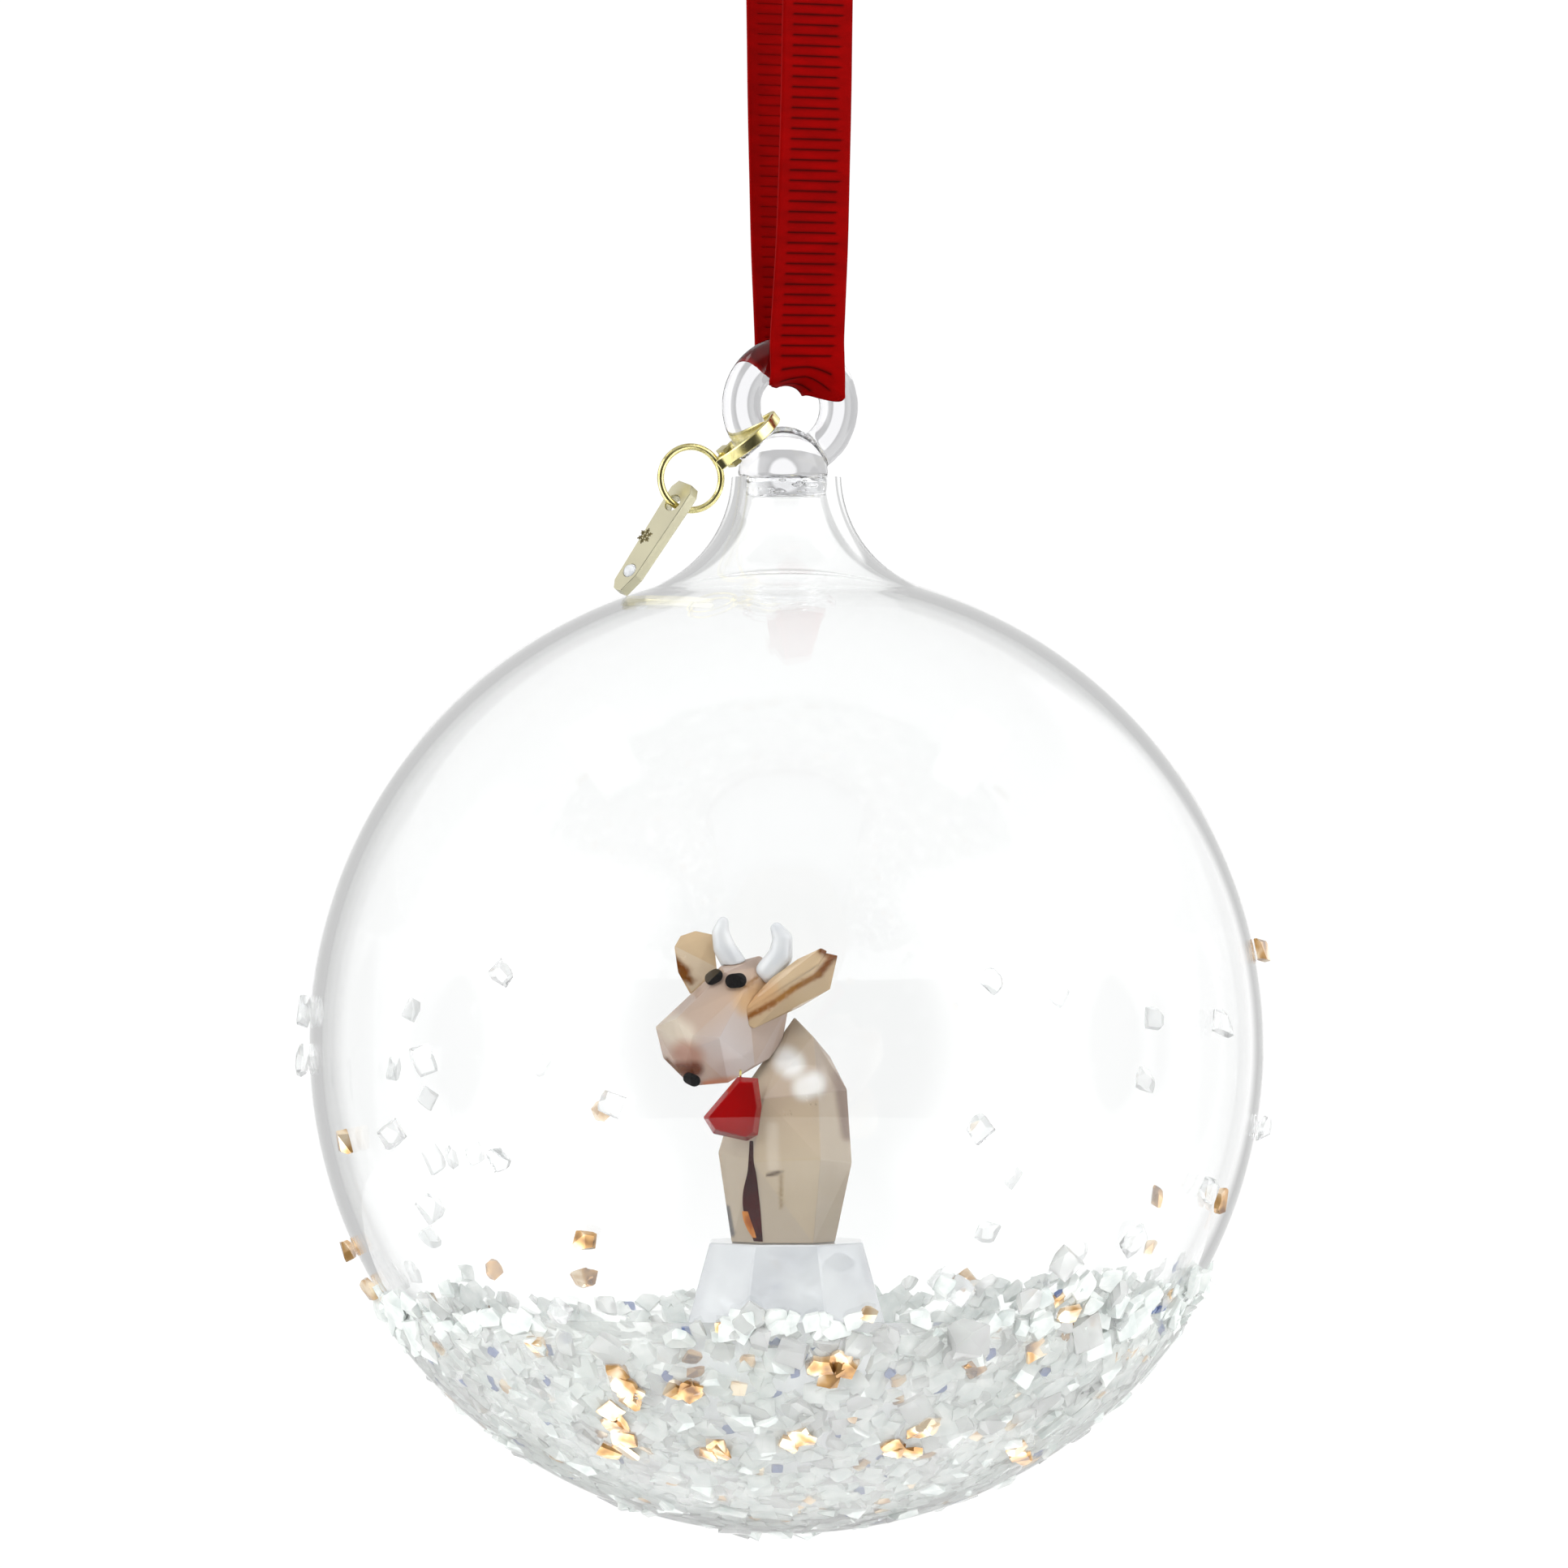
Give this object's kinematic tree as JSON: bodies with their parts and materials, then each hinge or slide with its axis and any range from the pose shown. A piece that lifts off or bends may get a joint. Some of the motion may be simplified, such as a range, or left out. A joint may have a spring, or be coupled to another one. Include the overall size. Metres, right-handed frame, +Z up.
{
  "type": "hanging glass ball ornament",
  "caption": "Clear blown glass ball ornament with a faceted crystal cow on a plinth inside, crystal chips glued round its bottom, a red grosgrain ribbon loop and a pale gold charm.",
  "frame": {"origin": "inside top of the ribbon loop, where a peg or hook carries it", "axes": "+Z up, X along the glass ring's plane and across the ribbon, -Y the front strand of the ribbon and the figure's side"},
  "size_m": [0.0809, 0.0811, 0.1386],
  "materials": {
    "red_grosgrain": "ribbed grosgrain with a satin edge",
    "blown_glass": "clear and polished",
    "solid_glass": "clear, lampworked, with a few bubbles",
    "cut_clear_crystal": "faceted and polished",
    "clear_resin": "clear glue",
    "champagne_crystal": "faceted and polished, pale champagne",
    "amber_crystal": "faceted and polished, light amber",
    "white_opal": "milky opal crystal, polished",
    "jet_crystal": "black, faceted and polished",
    "ruby_crystal": "deep red, faceted and polished",
    "clear_chips": "small cut chips, glued",
    "gold_chips": "gold-backed cut chips, glued",
    "pale_gold": "polished pale gold plate"
  },
  "bodies": {
    "ribbon": {"ribbon_loop": "red_grosgrain", "ribbon_lap": "red_grosgrain"},
    "bight": {"ribbon_bight": "red_grosgrain"},
    "ornament": {"glass_ball": "blown_glass", "glass_neck": "blown_glass", "base_cap": "blown_glass", "hanging_ring": "solid_glass", "neck_weld": "solid_glass", "plinth_seat": "clear_resin", "plinth": "cut_clear_crystal", "cow_body": "champagne_crystal", "cow_head": "champagne_crystal", "ear_left": "amber_crystal", "ear_right": "amber_crystal", "horn_left": "white_opal", "horn_right": "white_opal", "eye_left": "jet_crystal", "eye_right": "jet_crystal", "nose_tip": "jet_crystal", "cow_bell": "ruby_crystal", "bell_loop": "pale_gold", "crystal_bed": "clear_chips", "crystals_clear": "clear_chips", "crystals_gold": "gold_chips"},
    "bail": {"bail_band": "pale_gold", "bail_sleeve": "pale_gold"},
    "jump_ring": {"jump_ring": "pale_gold"},
    "tag": {"tag_plate": "pale_gold", "tag_stone": "cut_clear_crystal"}
  },
  "joints": [
    {"name": "swing_front_back", "type": "hinge", "parent": "ribbon", "child": "bight", "pos_m": [0, 0, -0.03925], "axis": [1, 0, 0], "range_deg": [-20, 20]},
    {"name": "sway_sideways", "type": "hinge", "parent": "bight", "child": "ornament", "pos_m": [0, 0, -0.04355], "axis": [0, 1, 0], "range_deg": [-25, 25]},
    {"name": "bail_swing", "type": "hinge", "parent": "ornament", "child": "bail", "pos_m": [-0.00329, 0, -0.04631], "axis": [0.6428, 0, -0.766], "range_deg": [-50, 50]},
    {"name": "jump_ring_swing", "type": "hinge", "parent": "bail", "child": "jump_ring", "pos_m": [-0.00598, 0, -0.04856], "axis": [-0.4226, 0, 0.9063], "range_deg": [-35, 35]},
    {"name": "tag_swing", "type": "hinge", "parent": "jump_ring", "child": "tag", "pos_m": [-0.0097, 0, -0.05198], "axis": [0.866, 0, -0.5], "range_deg": [-40, 40]}
  ]
}
